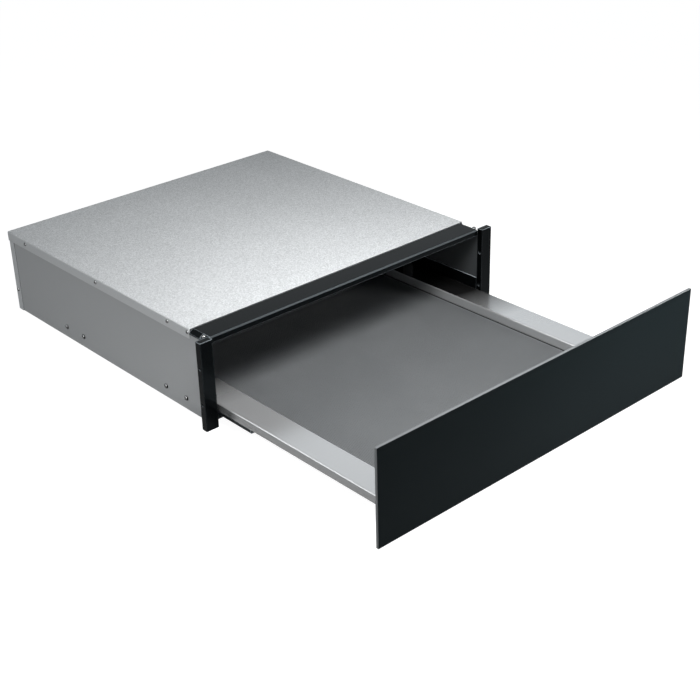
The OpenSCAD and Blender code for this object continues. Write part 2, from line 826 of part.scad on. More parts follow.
// Carrier bonded to the back of the glass: a pan with folded top and side edges, open at its
// corners, and with its bottom leg under the tray
module front_carrier()
    color(zinc_dark) {
        fold = carrier_t + bend_r;
        low_z = floor_z - tray_t - carrier_t;
        web = carrier_top_z - low_z - 2 * fold;
        difference() {
            union() {
                along_x(-carrier_half + fold, carrier_half - fold)
                    translate([glass_back_y + carrier_lip, carrier_top_z]) rotate(180)
                        folded([carrier_lip - fold, web, carrier_leg - fold], [1, 1], carrier_t, bend_r);
                translate([0, glass_back_y, rim_z + carrier_inset])
                    linear_extrude(height = carrier_top_z - fold - rim_z - carrier_inset)
                        channel(2 * carrier_half, carrier_lip, carrier_t, bend_r);
            }
            both_sides() at_front_screws() hole(front_screw_r + shaft_gap, 2 * floor_z);
        }
    }

module front_screws()
    color(bright) both_sides() at_front_screws()
        translate([0, 0, -tray_t - carrier_t]) mirror([0, 0, 1])
            sheet_screw(front_head_r, front_head_h, front_screw_r, carrier_t + 2 * tray_t);

module front_glass()
    color(glass_black) {
        half = frame_w / 2 + panel_overhang;
        block([-half, glass_back_y - glass_t, panel_lift], [half, glass_back_y, panel_top_z]);
    }

// Strike plate: a leg under the tray's floor and a tab that meets the plunger
module strike_plate()
    color(zinc_dark) along_x(-strike_w / 2, strike_w / 2)
        translate([strike_y - strike_leg, floor_z - strike_t])
            folded([strike_leg - strike_t - bend_r, floor_z - strike_t - bend_r - strike_low_z],
                   [-1], strike_t, bend_r);

base_panel();
side_panel(-1);  // side_panel_left
side_panel(1);  // side_panel_right
rear_panel();
top_cover();
frame_top_bar();
frame_post(-1);  // frame_post_left
frame_post(1);  // frame_post_right
frame_bottom_rail();
runner_bracket(-1);  // runner_bracket_left
runner_bracket(1);  // runner_bracket_right
runner_rail(-1);  // runner_rail_left
runner_rail(1);  // runner_rail_right
runner_rivets(-1);  // runner_rivets_left
runner_rivets(1);  // runner_rivets_right
cover_screws();
rear_screws();
frame_screws();
latch_body();
latch_screws();
latch_plunger();
latch_spring();
runner_mid(-1);  // runner_mid_left
runner_mid(1);  // runner_mid_right
outer_cage(-1);  // outer_cage_left
outer_cage(1);  // outer_cage_right
outer_ball_rows(-1);  // outer_balls_left
outer_ball_rows(1);  // outer_balls_right
inner_cage(-1);  // inner_cage_left
inner_cage(1);  // inner_cage_right
inner_ball_rows(-1);  // inner_balls_left
inner_ball_rows(1);  // inner_balls_right
runner_slide(-1);  // runner_slide_left
runner_slide(1);  // runner_slide_right
drawer_floor();
drawer_side(-1);  // drawer_side_left
drawer_side(1);  // drawer_side_right
drawer_rear_panel();
drawer_mat();
drawer_stop(-1);  // drawer_stop_left
drawer_stop(1);  // drawer_stop_right
front_carrier();
front_screws();
front_glass();
strike_plate();
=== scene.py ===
"""Looks of the built-in storage drawer: camera, studio, finishes and the small pieces whose shape
is finer than the frame's solids. Lengths are in metres."""

import math

import bpy
from mathutils import Matrix, Vector


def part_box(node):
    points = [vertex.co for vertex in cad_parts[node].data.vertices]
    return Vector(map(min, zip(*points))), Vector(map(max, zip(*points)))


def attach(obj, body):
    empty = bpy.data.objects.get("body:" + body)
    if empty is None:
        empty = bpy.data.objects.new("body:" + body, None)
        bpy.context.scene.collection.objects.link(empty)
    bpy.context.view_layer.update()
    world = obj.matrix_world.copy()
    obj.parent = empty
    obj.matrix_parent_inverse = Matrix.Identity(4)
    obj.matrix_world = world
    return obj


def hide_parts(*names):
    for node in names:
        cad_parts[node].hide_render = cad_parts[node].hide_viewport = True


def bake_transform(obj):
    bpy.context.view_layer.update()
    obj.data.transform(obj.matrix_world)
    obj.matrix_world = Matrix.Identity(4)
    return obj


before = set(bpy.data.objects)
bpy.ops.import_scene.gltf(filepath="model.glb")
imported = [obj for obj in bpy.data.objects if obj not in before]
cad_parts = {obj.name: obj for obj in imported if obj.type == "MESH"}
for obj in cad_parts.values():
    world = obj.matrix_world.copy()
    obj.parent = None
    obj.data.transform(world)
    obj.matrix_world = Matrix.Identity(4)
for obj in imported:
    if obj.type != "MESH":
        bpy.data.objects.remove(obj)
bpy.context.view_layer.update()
MM = 0.001

# Camera, solved from the straight edges in the photograph
LENS = 69.5
CAMERA_PLACE = Vector((-1.1706, -1.3266, 0.9411))
CAMERA_FORWARD = Vector((0.5862, 0.6639, -0.4643))
CAMERA_RIGHT = Vector((0.7408, -0.6712, -0.0246))


def make_camera():
    data = bpy.data.cameras.new("camera")
    data.lens = LENS
    forward = CAMERA_FORWARD.normalized()
    right = (CAMERA_RIGHT - forward * CAMERA_RIGHT.dot(forward)).normalized()
    turn = Matrix((right, right.cross(forward), -forward)).transposed().to_4x4()
    camera = bpy.data.objects.new("camera", data)
    camera.matrix_world = Matrix.Translation(CAMERA_PLACE) @ turn
    bpy.context.scene.collection.objects.link(camera)
    bpy.context.scene.camera = camera


make_camera()
bpy.context.scene.view_settings.view_transform = "Standard"


# Node helpers

def add(tree, kind, inputs=None, **settings):
    """Adds a node. An input given as a socket is linked, and any other is set."""
    node = tree.nodes.new("ShaderNode" + kind)
    for key, value in settings.items():
        setattr(node, key, value)
    for key, value in (inputs or {}).items():
        if isinstance(value, bpy.types.NodeSocket):
            tree.links.new(value, node.inputs[key])
        else:
            node.inputs[key].default_value = value
    return node


def calc(tree, operation, a, b=0.0, clamp=False):
    return add(tree, "Math", {0: a, 1: b}, operation=operation, use_clamp=clamp).outputs[0]


def times(tree, a, b):
    return calc(tree, "MULTIPLY", a, b)


def remap(tree, value, low, high, to_low=0.0, to_high=1.0):
    inputs = {"Value": value, "From Min": low, "From Max": high, "To Min": to_low, "To Max": to_high}
    return add(tree, "MapRange", inputs).outputs[0]


def mix_colour(tree, share, a, b):
    """Colour between a and b. Mix's colour sockets are its 7th and 8th."""
    node = add(tree, "Mix", {0: share}, data_type="RGBA")
    for socket, value in ((node.inputs[6], a), (node.inputs[7], b)):
        if isinstance(value, bpy.types.NodeSocket):
            tree.links.new(value, socket)
        else:
            socket.default_value = value
    return node.outputs[2]


def place(tree):
    """Point on the piece, in metres of its own frame."""
    return add(tree, "TexCoord").outputs["Object"]


def axes(tree, vector):
    """X, Y and Z of a vector."""
    return add(tree, "SeparateXYZ", {0: vector}).outputs


def facing(tree):
    """X, Y and Z of the direction that the surface faces."""
    return axes(tree, add(tree, "NewGeometry").outputs["Normal"])


def upper_bend(tree, up):
    """Mask of the bends between upright and level faces, from how far they face up."""
    return calc(tree, "MINIMUM", remap(tree, up, 0.1, 0.35), remap(tree, up, 0.98, 0.85))


def stretched(tree, point, factors):
    return add(tree, "VectorMath", {0: point, 1: factors}, operation="MULTIPLY").outputs[0]


def noise(tree, point, scale, detail=2.0):
    return add(tree, "TexNoise", {"Vector": point, "Scale": scale, "Detail": detail}).outputs["Fac"]


def shared_effect(name, inputs, outputs):
    tree = bpy.data.node_groups.new(name, "ShaderNodeTree")
    for label, kind, value in inputs:
        socket = tree.interface.new_socket(name=label, in_out="INPUT", socket_type="NodeSocket" + kind)
        socket.default_value = value
    for label, kind in outputs:
        tree.interface.new_socket(name=label, in_out="OUTPUT", socket_type="NodeSocket" + kind)
    given = tree.nodes.new("NodeGroupInput").outputs
    result = tree.nodes.new("NodeGroupOutput").inputs
    return tree, given, result


def use(tree, effect, **values):
    """Places a shared effect and returns its outputs."""
    node = tree.nodes.new("ShaderNodeGroup")
    node.node_tree = effect
    for key, value in values.items():
        socket = node.inputs[key]
        if isinstance(value, bpy.types.NodeSocket):
            tree.links.new(value, socket)
        else:
            socket.default_value = value
    return node.outputs


# Effects that several finishes share

def make_spangle():
    """Zinc crystals: flat patches of slightly different grey, with a few bright ones."""
    tree, given, result = shared_effect(
        "zinc_spangle",
        [("Cells", "Float", 300.0), ("Contrast", "Float", 0.2), ("Dark", "Color", (0, 0, 0, 1)),
         ("Light", "Color", (1, 1, 1, 1))],
        [("Color", "Color"), ("Patch", "Float"), ("Height", "Float")])
    point = place(tree)
    warp = add(tree, "TexNoise", {"Vector": point, "Scale": 220.0, "Detail": 1.0}).outputs["Color"]
    bent = add(tree, "VectorMath", {0: warp, 1: (0.0016, 0.0016, 0.0016), 2: point},
               operation="MULTIPLY_ADD").outputs[0]
    cells = add(tree, "TexVoronoi", {"Vector": bent, "Scale": given["Cells"]}).outputs["Color"]
    patch = add(tree, "SeparateColor", {0: cells}).outputs[0]
    fine = noise(tree, point, 900.0, 2.0)
    cloud = remap(tree, noise(tree, point, 9.0, 3.0), 0.0, 1.0, 0.42, 0.58)
    tone = calc(tree, "ADD", times(tree, calc(tree, "SUBTRACT", patch, 0.5), 0.7),
                calc(tree, "SUBTRACT", fine, 0.5))
    tone = times(tree, tone, given["Contrast"])
    tone = calc(tree, "ADD", tone, cloud, clamp=True)
    tree.links.new(mix_colour(tree, tone, given["Dark"], given["Light"]), result["Color"])
    tree.links.new(patch, result["Patch"])
    tree.links.new(calc(tree, "ADD", times(tree, patch, 0.4), fine), result["Height"])
    return tree


def make_brushing():
    """Fine parallel scratches. Stretch gives how fast they change along each axis."""
    tree, given, result = shared_effect(
        "brushing", [("Stretch", "Vector", (900.0, 9.0, 900.0))],
        [("Line", "Float"), ("Band", "Float"), ("Height", "Float")])
    point = place(tree)
    run = stretched(tree, point, given["Stretch"])
    line = noise(tree, run, 1.0, 4.0)
    band = noise(tree, run, 0.16, 2.0)
    tree.links.new(line, result["Line"])
    tree.links.new(band, result["Band"])
    tree.links.new(calc(tree, "ADD", line, times(tree, band, 0.5)), result["Height"])
    return tree


def make_edge_wear_and_highlight():
    """Worn outer edges, broken up by noise, and a painted highlight along whole edges, stronger where
    they face up.
    """
    tree, given, result = shared_effect(
        "edge_wear_and_highlight", [("Radius", "Float", 0.0012), ("Break", "Float", 90.0)],
        [("Mask", "Float"), ("Edge", "Float")])
    rounded = add(tree, "Bevel", {"Radius": given["Radius"]}, samples=6).outputs[0]
    flat = add(tree, "NewGeometry").outputs["Normal"]
    near = add(tree, "VectorMath", {0: rounded, 1: flat}, operation="DOT_PRODUCT").outputs["Value"]
    turn = remap(tree, near, 0.995, 0.86)
    patch = remap(tree, noise(tree, place(tree), given["Break"], 4.0), 0.35, 0.62)
    tree.links.new(times(tree, turn, patch), result["Mask"])
    # Edge: painted highlight along whole edges, stronger where they face up.
    up = remap(tree, axes(tree, rounded)["Z"], 0.0, 0.5, 0.15, 1.0)
    tree.links.new(times(tree, turn, up), result["Edge"])
    return tree


def make_dust():
    """Thin dust that lies on surfaces that face up."""
    tree, given, result = shared_effect("dust", [("Amount", "Float", 0.1)], [("Mask", "Float")])
    up = facing(tree)["Z"]
    cloud = remap(tree, noise(tree, place(tree), 26.0, 6.0), 0.42, 0.7)
    mask = times(tree, remap(tree, up, 0.5, 1.0), cloud)
    tree.links.new(times(tree, mask, given["Amount"]), result["Mask"])
    return tree


def make_grain():
    """Fine even texture of paint or moulded plastic, and a slow change of tone."""
    tree, given, result = shared_effect(
        "grain", [("Size", "Float", 1500.0)], [("Height", "Float"), ("Tone", "Float")])
    point = place(tree)
    tree.links.new(noise(tree, point, given["Size"], 2.0), result["Height"])
    tree.links.new(noise(tree, point, 18.0, 4.0), result["Tone"])
    return tree


def make_inner_face():
    """Mask of what lies inside a box."""
    tree, given, result = shared_effect(
        "inner_face", [("Centre", "Vector", (0, 0, 0)), ("Half", "Vector", (1, 1, 1))],
        [("Mask", "Float")])
    off = add(tree, "VectorMath", {0: place(tree), 1: given["Centre"]}, operation="SUBTRACT").outputs[0]
    off = add(tree, "VectorMath", {0: off}, operation="ABSOLUTE").outputs[0]
    off = add(tree, "VectorMath", {0: given["Half"], 1: off}, operation="SUBTRACT").outputs[0]
    parts = axes(tree, off)
    least = calc(tree, "MINIMUM", calc(tree, "MINIMUM", parts[0], parts[1]), parts[2])
    tree.links.new(calc(tree, "GREATER_THAN", least, 0.0), result["Mask"])
    return tree


def make_crevice_shade():
    """Mask of seams and inner corners, for painted shade where light doesn't reach."""
    tree, given, result = shared_effect("crevice_shade", [("Reach", "Float", 0.004)], [("Mask", "Float")])
    open_share = add(tree, "AmbientOcclusion", {"Distance": given["Reach"]}, samples=6).outputs["AO"]
    tree.links.new(remap(tree, open_share, 0.85, 0.45), result["Mask"])
    return tree


SPANGLE = make_spangle()
BRUSHING = make_brushing()
EDGE_WEAR_AND_HIGHLIGHT = make_edge_wear_and_highlight()
DUST = make_dust()
GRAIN = make_grain()
INNER_FACE = make_inner_face()
CREVICE_SHADE = make_crevice_shade()


# Finishes

def grey(value, blue=1.0):
    """Neutral colour, a little towards blue when blue is above 1."""
    return (value, value * (1 + (blue - 1) * 0.6), value * blue, 1.0)


def new_finish(name, **constants):
    """Material with a Principled shader whose plain sockets are set here."""
    material = bpy.data.materials.new(name)
    material.use_nodes = True
    tree = material.node_tree
    shader = tree.nodes["Principled BSDF"]
    for key, value in constants.items():
        shader.inputs[key.replace("_", " ")].default_value = value
    return material, tree, shader


def feed(tree, shader, colour=None, roughness=None, height=None, depth=0.00002, strength=1.0):
    if colour is not None:
        tree.links.new(colour, shader.inputs["Base Color"])
    if roughness is not None:
        tree.links.new(roughness, shader.inputs["Roughness"])
    if height is not None:
        bump = add(tree, "Bump", {"Height": height, "Distance": depth, "Strength": strength})
        tree.links.new(bump.outputs[0], shader.inputs["Normal"])


def paint_shade_inside(tree, colour, inner, tone):
    """Paints shade on what lies inside the box, in the tone given."""
    within = use(tree, INNER_FACE, Centre=inner[0], Half=inner[1])["Mask"]
    return mix_colour(tree, within, colour, tone)


def galvanised(name, dark, light, cells, contrast, rough, metallic, inner=None, shade=0.0, flank=0.0):
    """Zinc-coated sheet. inner is the box, in metres, whose inside is darkened to the tone shade, a
    painted shade. flank is how much lighter upright faces are made, as painted light. Seams and inner
    corners get a painted shade."""
    material, tree, shader = new_finish(name, Metallic=metallic, Specular_IOR_Level=0.3)
    up = facing(tree)["Z"]
    shown = remap(tree, up, 0.3, 0.9, contrast * 0.2, contrast)
    zinc = use(tree, SPANGLE, Cells=cells, Contrast=shown, Dark=grey(dark, 1.05),
               Light=grey(light, 1.03))
    wear = use(tree, EDGE_WEAR_AND_HIGHLIGHT, Radius=0.8 * MM)["Mask"]
    colour = mix_colour(tree, times(tree, wear, 0.4), zinc["Color"], grey(0.8))
    # Painted light: upright faces are made lighter by flank.
    colour = mix_colour(tree, remap(tree, up, 0.9, 0.3, 0.0, flank), colour, grey(light, 1.03))
    # Painted shade in seams and inner corners.
    seam_shade = times(tree, use(tree, CREVICE_SHADE, Reach=2.5 * MM)["Mask"], 0.6)
    colour = mix_colour(tree, seam_shade, colour, grey(0.08))
    # Painted shade on the faces inside the box inner.
    if inner is not None:
        colour = paint_shade_inside(tree, colour, inner, grey(shade, 1.12))
    feed(tree, shader, colour, remap(tree, zinc["Patch"], 0, 1, rough - 0.07, rough + 0.07),
         zinc["Height"], 0.03 * MM, 0.5)
    return material


def painted(name, base, up, worn_and_lit, rough, wear_share, dust, level=0.2, highlight_share=0.0):
    """Black powder paint with fine texture. Faces that look up are greyer, a painted sheen; edges are
    greyer through wear and through a painted highlight along edges and upper bends.
    """
    material, tree, shader = new_finish(name, Metallic=0.0, Specular_IOR_Level=level,
                                        Specular_Tint=(0.72, 0.9, 1.0, 1.0))
    grain = use(tree, GRAIN, Size=1400.0)
    tone = mix_colour(tree, grain["Tone"], grey(base * 0.85, 1.4), grey(base * 1.2, 1.4))
    normal = facing(tree)
    # Painted sheen: faces that look up take a lighter tone.
    tone = mix_colour(tree, remap(tree, normal["Z"], 0.5, 1.0), tone, grey(up, 1.2))
    # Wear on broken edges, and a painted highlight along whole edges and upper bends, in one lighter
    # tone.
    edges = use(tree, EDGE_WEAR_AND_HIGHLIGHT, Radius=1.8 * MM)
    bend_highlight = calc(tree, "MINIMUM", upper_bend(tree, normal["Z"]),
                remap(tree, normal["Y"], -0.2, -0.3, 0.0, 0.16))
    lit = times(tree, calc(tree, "MAXIMUM", edges["Edge"], bend_highlight), highlight_share)
    wear = calc(tree, "ADD", times(tree, edges["Mask"], wear_share), lit, clamp=True)
    tone = mix_colour(tree, wear, tone, grey(worn_and_lit, 1.2))
    tone = mix_colour(tree, use(tree, DUST, Amount=dust)["Mask"], tone, grey(0.35))
    feed(tree, shader, tone, remap(tree, grain["Tone"], 0.3, 0.7, rough - 0.04, rough + 0.06),
         grain["Height"], 0.02 * MM, 0.35)
    return material


# Depths between which the housing's mouth casts a painted shadow on the rims, in metres, and how far
# the light's slant moves them back towards the left
MOUTH_SHADE = (-0.073, 0.03)
MOUTH_SLANT = 0.18


def brushed(name, dark, light, stretch, rough, metallic=1.0, inner=None, shade=0.0, roofed=0.0):
    """Brushed sheet. inner is the box, in metres, whose inside is darkened to the tone shade, a painted
    shade. roofed is how far its level faces darken, a painted shadow, where they pass under the
    housing, whatever the pose. Whole edges and upper bends get a painted highlight; faces that look
    away from the middle and inner corners get a painted shade."""
    material, tree, shader = new_finish(name, Metallic=metallic, Specular_IOR_Level=0.3)
    lines = use(tree, BRUSHING, Stretch=stretch)
    tone = calc(tree, "ADD", times(tree, lines["Line"], 0.8), times(tree, lines["Band"], 0.2))
    colour = mix_colour(tree, remap(tree, tone, 0.3, 0.7), grey(dark, 1.02), grey(light, 1.02))
    # Painted highlight along whole edges.
    bright = times(tree, use(tree, EDGE_WEAR_AND_HIGHLIGHT, Radius=0.9 * MM)["Edge"], 0.7)
    colour = mix_colour(tree, bright, colour, grey(0.95))
    normal = facing(tree)
    # Painted shade on faces that look away from the middle.
    outward_shade = times(tree, axes(tree, place(tree))["X"], normal["X"])
    colour = mix_colour(tree, remap(tree, outward_shade, 0.05, 0.15, 0.0, 0.4), colour, grey(0.02))
    # Painted shadow where level faces pass under the housing.
    if roofed:
        spot = axes(tree, add(tree, "NewGeometry").outputs["Position"])
        depth = calc(tree, "ADD", spot["Y"], times(tree, spot["X"], MOUTH_SLANT))
        level = times(tree, remap(tree, normal["Z"], 0.9, 0.98), roofed)
        under = times(tree, remap(tree, depth, *MOUTH_SHADE), level)
        colour = mix_colour(tree, under, colour, grey(0.0))
    # Painted highlight along the bends between upright and level faces.
    colour = mix_colour(tree, times(tree, upper_bend(tree, normal["Z"]), 0.7), colour, grey(0.9))
    # Painted shade in seams and inner corners.
    corner = times(tree, use(tree, CREVICE_SHADE, Reach=4 * MM)["Mask"], 0.85)
    colour = mix_colour(tree, corner, colour, grey(0.03))
    # Painted shade on the faces inside the box inner.
    if inner is not None:
        colour = paint_shade_inside(tree, colour, inner, grey(shade, 1.1))
    feed(tree, shader, colour, remap(tree, lines["Line"], 0.3, 0.7, rough - 0.03, rough + 0.04),
         lines["Height"], 0.004 * MM, 0.3)
    return material


def plated(name, dark, light, rough, front=0.0):
    """Bright plating with small stains and light scratches, darkened at grazing angles as a painted
    reflection. front is how far the sides that face the front of the drawer darken, a painted
    reflection of the dark frame."""
    material, tree, shader = new_finish(name, Metallic=1.0)
    point = place(tree)
    stain = noise(tree, point, 260.0, 4.0)
    fine = noise(tree, point, 2600.0, 2.0)
    colour = mix_colour(tree, remap(tree, stain, 0.35, 0.65), grey(dark), grey(light))
    # Painted reflection: darker where the surface turns away from view.
    turned = add(tree, "LayerWeight", {"Blend": 0.5}).outputs["Facing"]
    colour = mix_colour(tree, remap(tree, turned, 0.25, 0.62), colour, grey(0.02))
    # Painted reflection of the dark frame on sides that face the front.
    if front:
        forward = facing(tree)["Y"]
        colour = mix_colour(tree, remap(tree, forward, -0.45, -0.6, 0.0, front), colour, grey(0.0))
    feed(tree, shader, colour, remap(tree, stain, 0.3, 0.7, rough + 0.08, rough - 0.03), fine,
         0.01 * MM, 0.3)
    return material


def moulded(name, base, rough, size):
    material, tree, shader = new_finish(name, Metallic=0.0, Specular_IOR_Level=0.2)
    grain = use(tree, GRAIN, Size=size)
    tone = mix_colour(tree, grain["Tone"], grey(base * 0.8, 1.1), grey(base * 1.25, 1.1))
    wear = times(tree, use(tree, EDGE_WEAR_AND_HIGHLIGHT, Radius=0.5 * MM)["Mask"], 0.5)
    tone = mix_colour(tree, wear, tone, grey(base * 2, 1.1))
    feed(tree, shader, tone, remap(tree, grain["Height"], 0.3, 0.7, rough - 0.05, rough + 0.08),
         grain["Height"], 0.04 * MM, 0.5)
    return material


def make_mat_rubber():
    material, tree, shader = new_finish("mat_rubber", Metallic=0.0, Specular_IOR_Level=0.6)
    grain = use(tree, GRAIN, Size=1800.0)
    tone = mix_colour(tree, grain["Tone"], grey(0.120, 1.09), grey(0.138, 1.08))
    tone = mix_colour(tree, use(tree, DUST, Amount=0.04)["Mask"], tone, grey(0.42, 1.02))
    # Painted shade in seams and inner corners.
    tone = mix_colour(tree, use(tree, CREVICE_SHADE, Reach=4 * MM)["Mask"], tone, grey(0.03))
    feed(tree, shader, tone, remap(tree, grain["Height"], 0.3, 0.7, 0.44, 0.58), grain["Height"],
         0.05 * MM, 0.4)
    return material


def make_satin_glass():
    """Black glass with an etched satin face."""
    material, tree, shader = new_finish("satin_black_glass", Metallic=0.0, Specular_IOR_Level=0.05)
    point = place(tree)
    etch = noise(tree, point, 3200.0, 2.0)
    cloud = noise(tree, point, 5.0, 3.0)
    colour = mix_colour(tree, cloud, (0.0075, 0.0122, 0.0140, 1), (0.0100, 0.0150, 0.0168, 1))
    feed(tree, shader, colour, remap(tree, cloud, 0.3, 0.7, 0.28, 0.33), etch, 0.004 * MM, 0.35)
    return material


def make_ground_edge():
    """Ground edge of the glass: pale, matt, with marks of the wheel along it."""
    material, tree, shader = new_finish("ground_glass_edge", Metallic=0.0)
    lines = use(tree, BRUSHING, Stretch=(60.0, 2600.0, 60.0))
    colour = mix_colour(tree, lines["Line"], grey(0.14, 1.08), grey(0.22, 1.08))
    feed(tree, shader, colour, remap(tree, lines["Line"], 0.3, 0.7, 0.3, 0.5), lines["Line"],
         0.02 * MM, 0.3)
    return material


SPANGLE_CELLS = 800.0
# Centre and half size of the space in the housing, and of the well of the tray, whose faces take a
# painted shade
HOUSING_SHADE_BOX = ((0.0, 0.2405, 0.067), (0.2625, 0.2635, 0.0665))
PAN_SHADE_BOX = ((0.0, -0.11, 0.0262), (0.22, 0.27, 0.008))

# Faces inside the housing take a painted shade; the cover's upright faces are lighter, painted light.
ZINC_TOP = galvanised("galvanised_cover", 0.36, 0.78, SPANGLE_CELLS, 0.9, 0.5, 0.1, HOUSING_SHADE_BOX, 0.06, 0.4)
ZINC_SIDE = galvanised("galvanised_side", 0.44, 0.54, SPANGLE_CELLS, 0.5, 0.42, 0.1, HOUSING_SHADE_BOX, 0.06)
ZINC_REAR = galvanised("galvanised_rear", 0.6, 0.72, SPANGLE_CELLS, 0.5, 0.42, 0.1, HOUSING_SHADE_BOX, 0.06)
ZINC_INSIDE = galvanised("galvanised_base", 0.44, 0.54, SPANGLE_CELLS, 0.5, 0.42, 0.1, HOUSING_SHADE_BOX, 0.04)
# The up tone is a painted sheen on faces that look up; the edge tones are wear and partly a painted
# highlight.
BLACK_PAINT = painted("black_frame_paint", 0.0010, 0.0015, 0.30, 0.2, 0.0, 0.0, 0.12, 0.9)
BLACK_ZINC = painted("black_bracket_paint", 0.0015, 0.45, 0.14, 0.42, 0.4, 0.0, 0.05)
BLACK_RUNNER = painted("black_runner_steel", 0.008, 0.6, 0.9, 0.3, 1.0, 0.0, 0.3)
RUNNER_ZINC = brushed("runner_zinc", 0.40, 0.62, (1800.0, 12.0, 1800.0), 0.28)
CARRIER_ZINC = galvanised("carrier_zinc", 0.30, 0.46, 420.0, 0.4, 0.42, 0.8)
BRIGHT_PLATE = plated("bright_plating", 0.36, 0.55, 0.14)
# Rivets: sides that face the front darken, a painted reflection.
RIVET_PLATE = plated("rivet_plating", 0.36, 0.55, 0.14, 0.95)
BALL_STEEL = plated("polished_ball_steel", 0.6, 0.75, 0.08)
CAGE_STEEL = plated("cage_steel", 0.42, 0.58, 0.3)
# The tray floor's faces in the well take a painted shade; the rims take a painted shadow under the
# housing.
TRAY_STEEL = brushed("brushed_stainless", 0.48, 0.54, (2600.0, 10.0, 2600.0), 0.32, 0.5, PAN_SHADE_BOX, 0.02)
TRAY_CROSS = brushed("brushed_stainless_across", 0.69, 0.72, (14.0, 3600.0, 3600.0), 0.22, 0.72,
                     roofed=0.97)
BLACK_MOULD = moulded("black_moulding", 0.018, 0.45, 1600.0)
MAT_RUBBER = make_mat_rubber()
SATIN_GLASS = make_satin_glass()
GROUND_EDGE = make_ground_edge()

NODE_FINISH = {
    "base_panel": ZINC_INSIDE, "side_panel_left": ZINC_SIDE, "side_panel_right": ZINC_SIDE,
    "rear_panel": ZINC_REAR, "top_cover": ZINC_TOP, "frame_top_bar": BLACK_PAINT,
    "frame_bottom_rail": BLACK_PAINT, "front_carrier": CARRIER_ZINC, "drawer_floor": TRAY_STEEL,
    "drawer_rear_panel": TRAY_CROSS, "strike_plate": RUNNER_ZINC, "latch_body": BLACK_MOULD,
    "latch_plunger": BLACK_MOULD, "latch_spring": BRIGHT_PLATE, "drawer_mat": MAT_RUBBER,
    "front_glass": SATIN_GLASS,
}
SIDE_FINISH = {
    "frame_post": BLACK_PAINT, "runner_bracket": BLACK_ZINC, "runner_rail": RUNNER_ZINC,
    "runner_mid": BLACK_RUNNER, "runner_slide": RUNNER_ZINC, "outer_cage": CAGE_STEEL,
    "inner_cage": CAGE_STEEL, "outer_balls": BALL_STEEL, "inner_balls": BALL_STEEL,
    "drawer_side": TRAY_CROSS, "drawer_stop": BLACK_MOULD, "runner_rivets": RIVET_PLATE,
}
for name, finish in SIDE_FINISH.items():
    NODE_FINISH[name + "_left"] = finish
    NODE_FINISH[name + "_right"] = finish

for name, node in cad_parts.items():
    node.data.materials.clear()
    node.data.materials.append(NODE_FINISH.get(name, BRIGHT_PLATE))


# Mesh helpers

def soften(names, width):
    """Rounds the edges of frame nodes with a modifier."""
    for name in names:
        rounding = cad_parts[name].modifiers.new("rounded_edges", "BEVEL")
        rounding.width = width
        rounding.segments = 2
        rounding.limit_method = "ANGLE"
        rounding.angle_limit = math.radians(50)
        rounding.harden_normals = False


soften(["frame_post_left", "frame_post_right", "frame_top_bar", "frame_bottom_rail"], 0.5 * MM)
soften(["drawer_side_left", "drawer_side_right", "drawer_rear_panel"], 0.15 * MM)


def new_piece(name, points, faces, finishes, body, stands_for, face_finish=None, smooth=None):
    """Makes a piece, puts it on its body where it has one, and hides the frame parts that it stands
    for. smooth is the largest angle that is shaded round."""
    mesh = bpy.data.meshes.new(name)
    mesh.from_pydata([tuple(p) for p in points], [], faces)
    mesh.validate()
    for finish in finishes:
        mesh.materials.append(finish)
    if face_finish:
        for polygon, index in zip(mesh.polygons, face_finish):
            polygon.material_index = index
    if smooth is not None:
        mesh.shade_smooth()
        mesh.set_sharp_from_angle(angle=math.radians(smooth))
    piece = bpy.data.objects.new(name, mesh)
    bpy.context.scene.collection.objects.link(piece)
    if body:
        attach(piece, body)
    if stands_for:
        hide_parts(*stands_for)
    return piece


def stack(rings, start=0):
    """Points and faces of a closed shape through rings of equal count, capped at both ends."""
    count = len(rings[0])
    points = [p for ring in rings for p in ring]
    faces = []
    for r in range(len(rings) - 1):
        for i in range(count):
            j = (i + 1) % count
            low, high = start + r * count, start + (r + 1) * count
            faces.append((low + i, low + j, high + j, high + i))
    last = start + (len(rings) - 1) * count
    faces.append(tuple(start + i for i in reversed(range(count))))
    faces.append(tuple(last + i for i in range(count)))
    return points, faces


class Shape:
    """Collects closed shapes into one mesh."""

    def __init__(self):
        self.points, self.faces, self.finish = [], [], []

    def take(self, rings, turn=None, finish=0):
        if turn is not None:
            rings = [[turn @ Vector(p) for p in ring] for ring in rings]
        points, faces = stack(rings, len(self.points))
        self.points += points
        self.faces += faces
        self.finish += [finish] * len(faces)

    def piece(self, name, finishes, body, stands_for, slot, smooth=None):
        return new_piece(name, self.points, self.faces, finishes, body, stands_for,
                         self.finish, smooth)


# Screws, rivets and other turned pieces, drawn along Z with their seat at Z = 0

def circle(r, z, count=32):
    return [(r * math.cos(2 * math.pi * i / count), r * math.sin(2 * math.pi * i / count), z)
            for i in range(count)]


def cross_angles(arm, half):
    """Eight angles in each quarter that catch every corner of a cross-shaped recess."""
    corner = math.atan2(half, arm)
    quarter = math.pi / 2
    steps = [-corner, 0, corner, (3 * corner + quarter / 2) / 4, (corner + quarter / 2) / 2,
             quarter / 2, (quarter / 2 + quarter - corner) / 2,
             (quarter / 2 + 3 * (quarter - corner)) / 4]
    return [k * quarter + a for k in range(4) for a in steps]


def cross_ring(angles, arm, half, z):
    ring = []
    for angle in angles:
        near = (angle + math.pi / 4) % (math.pi / 2) - math.pi / 4
        if abs(near) <= math.atan2(half, arm) + 1e-6:
            r = arm / math.cos(near)
        else:
            r = half / math.sin(abs(near))
        ring.append((r * math.cos(angle), r * math.sin(angle), z))
    return ring


def round_ring(angles, r, z):
    return [(r * math.cos(a), r * math.sin(a), z) for a in angles]


